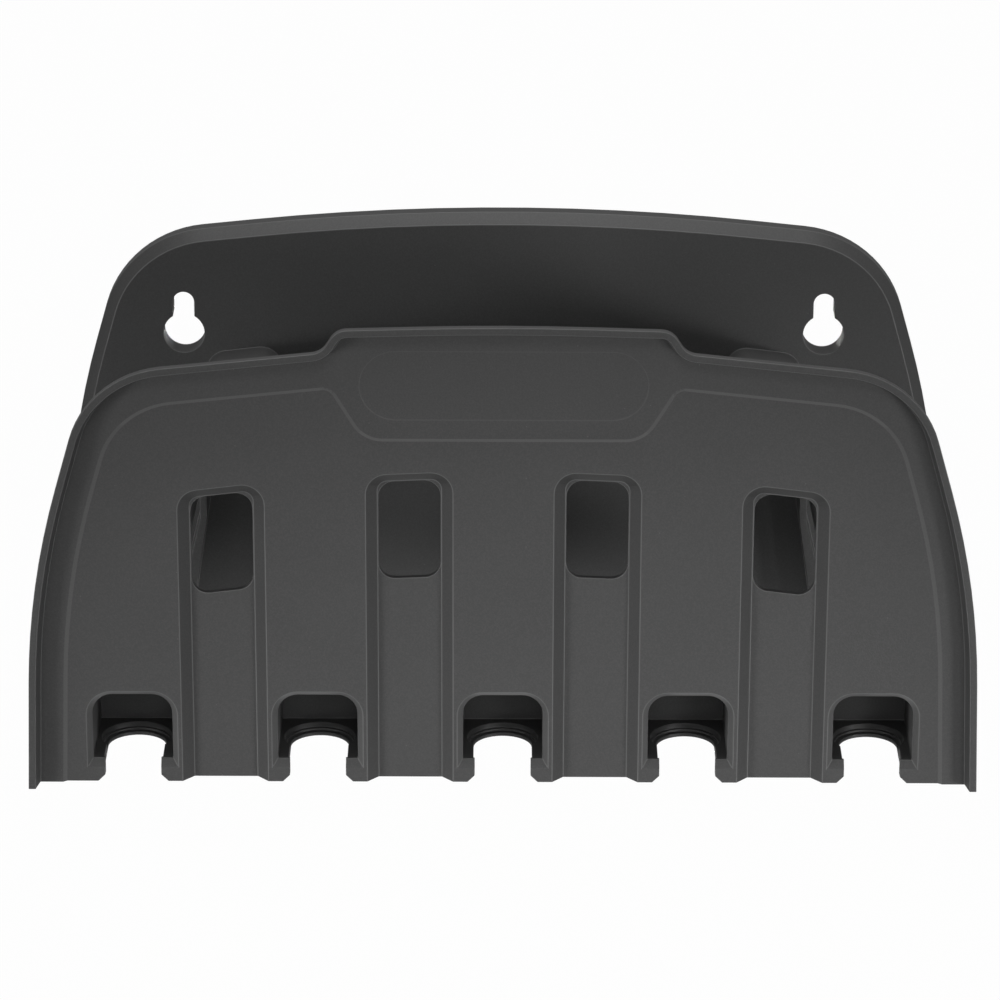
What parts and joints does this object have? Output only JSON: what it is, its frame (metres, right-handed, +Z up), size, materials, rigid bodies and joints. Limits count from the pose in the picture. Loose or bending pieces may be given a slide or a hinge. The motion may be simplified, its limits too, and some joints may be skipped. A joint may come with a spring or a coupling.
{
  "type": "hose hanger",
  "caption": "Wall-hung garden hose hanger moulded in one piece: a ribbed saddle between a back plate with keyhole slots and a tall front plate with fitting pockets.",
  "frame": {"origin": "on the wall plane, midway between the two keyhole entry holes", "axes": "+X to the right seen from the front, +Y into the wall, +Z up"},
  "size_m": [0.3064, 0.145, 0.1584],
  "materials": {
    "hanger_plastic": "fine matt grain on the front, smoother inside"
  },
  "bodies": {
    "root": {"hanger_body": "hanger_plastic"}
  },
  "joints": []
}
